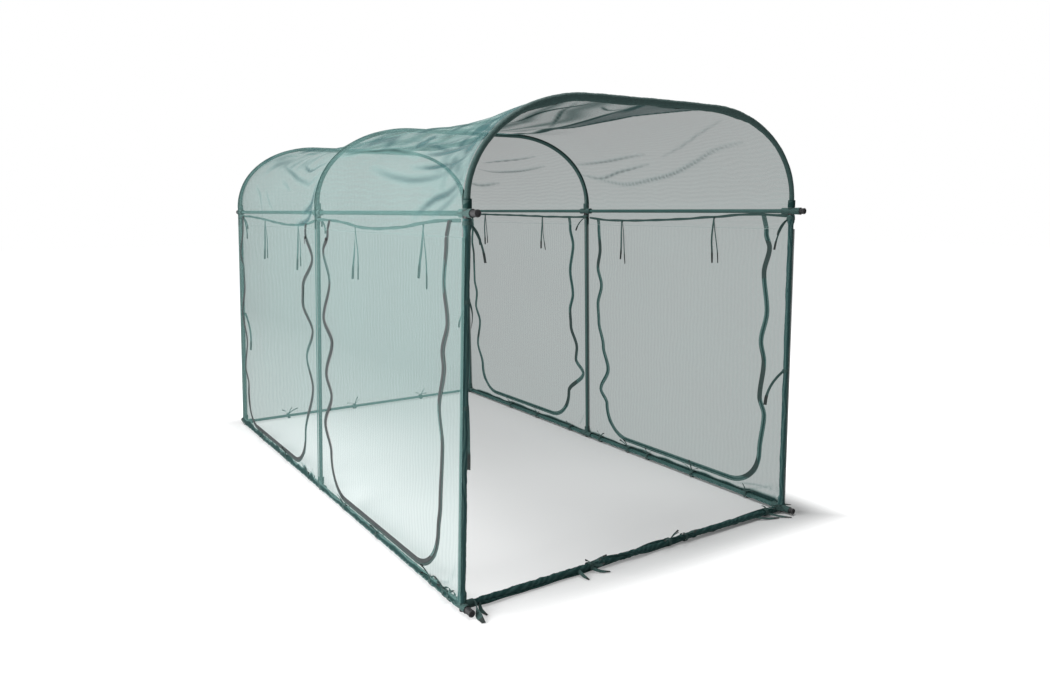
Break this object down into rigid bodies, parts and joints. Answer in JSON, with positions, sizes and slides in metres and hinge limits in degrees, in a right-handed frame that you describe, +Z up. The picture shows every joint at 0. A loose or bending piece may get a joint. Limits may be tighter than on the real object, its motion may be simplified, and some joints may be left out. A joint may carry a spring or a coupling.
{
  "type": "crop cage",
  "caption": "Walk-in tunnel-shaped garden crop cage: coated steel hoops on legs and rails, fine net cover, netted rear, open front, zipped roll-up doors in both sides.",
  "frame": {"origin": "centre of the footprint on the ground, halfway between the end hoops", "axes": "+Z up; the open front end faces -Y, the netted rear end +Y; +X is to the right for someone who stands outside the open front and looks in, so left is -X"},
  "size_m": [1.836, 3.144, 1.9004],
  "materials": {
    "tube_coating": "satin green powder coat on steel tube",
    "joint_plastic": "moulded black plastic, lightly grained",
    "net": "fine knitted green net, see-through",
    "tape": "woven dark green binding tape",
    "zip_metal": "black painted slider"
  },
  "bodies": {
    "frame_and_cover": {"front_left_leg": "tube_coating", "front_left_bend": "tube_coating", "front_right_leg": "tube_coating", "front_right_bend": "tube_coating", "front_crown": "tube_coating", "middle_left_leg": "tube_coating", "middle_left_bend": "tube_coating", "middle_right_leg": "tube_coating", "middle_right_bend": "tube_coating", "middle_crown": "tube_coating", "rear_left_leg": "tube_coating", "rear_left_bend": "tube_coating", "rear_right_leg": "tube_coating", "rear_right_bend": "tube_coating", "rear_crown": "tube_coating", "left_front_eave_rail": "tube_coating", "left_front_ground_rail": "tube_coating", "left_rear_eave_rail": "tube_coating", "left_rear_ground_rail": "tube_coating", "right_front_eave_rail": "tube_coating", "right_front_ground_rail": "tube_coating", "right_rear_eave_rail": "tube_coating", "right_rear_ground_rail": "tube_coating", "front_cross_rail": "tube_coating", "rear_cross_rail": "tube_coating", "front_left_eave_joint": "joint_plastic", "front_left_base_joint": "joint_plastic", "front_right_eave_joint": "joint_plastic", "front_right_base_joint": "joint_plastic", "middle_left_eave_joint": "joint_plastic", "middle_left_base_joint": "joint_plastic", "middle_right_eave_joint": "joint_plastic", "middle_right_base_joint": "joint_plastic", "rear_left_eave_joint": "joint_plastic", "rear_left_base_joint": "joint_plastic", "rear_right_eave_joint": "joint_plastic", "rear_right_base_joint": "joint_plastic", "roof_net": "net", "left_side_net": "net", "right_side_net": "net", "rear_net": "net", "front_rail_wrap": "net", "front_hoop_sleeve": "tape", "left_front_hem_tape": "tape", "left_rear_hem_tape": "tape", "right_front_hem_tape": "tape", "right_rear_hem_tape": "tape"},
    "left_front_door": {"left_front_door_net": "net", "left_front_zip": "tape"},
    "left_front_slider": {"left_front_zip_slider": "zip_metal"},
    "left_rear_door": {"left_rear_door_net": "net", "left_rear_zip": "tape"},
    "left_rear_slider": {"left_rear_zip_slider": "zip_metal"},
    "right_front_door": {"right_front_door_net": "net", "right_front_zip": "tape"},
    "right_front_slider": {"right_front_zip_slider": "zip_metal"},
    "right_rear_door": {"right_rear_door_net": "net", "right_rear_zip": "tape"},
    "right_rear_slider": {"right_rear_zip_slider": "zip_metal"}
  },
  "joints": [
    {"name": "left_front_door_lift", "type": "hinge", "parent": "frame_and_cover", "child": "left_front_door", "pos_m": [-0.88312, -0.75, 1.37239], "axis": [0, 1, 0], "range_deg": [0, 100]},
    {"name": "left_front_zip_travel", "type": "slide", "parent": "left_front_door", "child": "left_front_slider", "axis": [-0.0244, 0, -0.9997], "range_m": [0, 1.05]},
    {"name": "left_rear_door_lift", "type": "hinge", "parent": "frame_and_cover", "child": "left_rear_door", "pos_m": [-0.88312, 0.75, 1.37239], "axis": [0, 1, 0], "range_deg": [0, 100]},
    {"name": "left_rear_zip_travel", "type": "slide", "parent": "left_rear_door", "child": "left_rear_slider", "axis": [-0.0244, 0, -0.9997], "range_m": [0, 1.05]},
    {"name": "right_front_door_lift", "type": "hinge", "parent": "frame_and_cover", "child": "right_front_door", "pos_m": [0.88312, -0.75, 1.37239], "axis": [0, -1, 0], "range_deg": [0, 100]},
    {"name": "right_front_zip_travel", "type": "slide", "parent": "right_front_door", "child": "right_front_slider", "axis": [0.0244, 0, -0.9997], "range_m": [0, 1.05]},
    {"name": "right_rear_door_lift", "type": "hinge", "parent": "frame_and_cover", "child": "right_rear_door", "pos_m": [0.88312, 0.75, 1.37239], "axis": [0, -1, 0], "range_deg": [0, 100]},
    {"name": "right_rear_zip_travel", "type": "slide", "parent": "right_rear_door", "child": "right_rear_slider", "axis": [0.0244, 0, -0.9997], "range_m": [0, 1.05]}
  ]
}
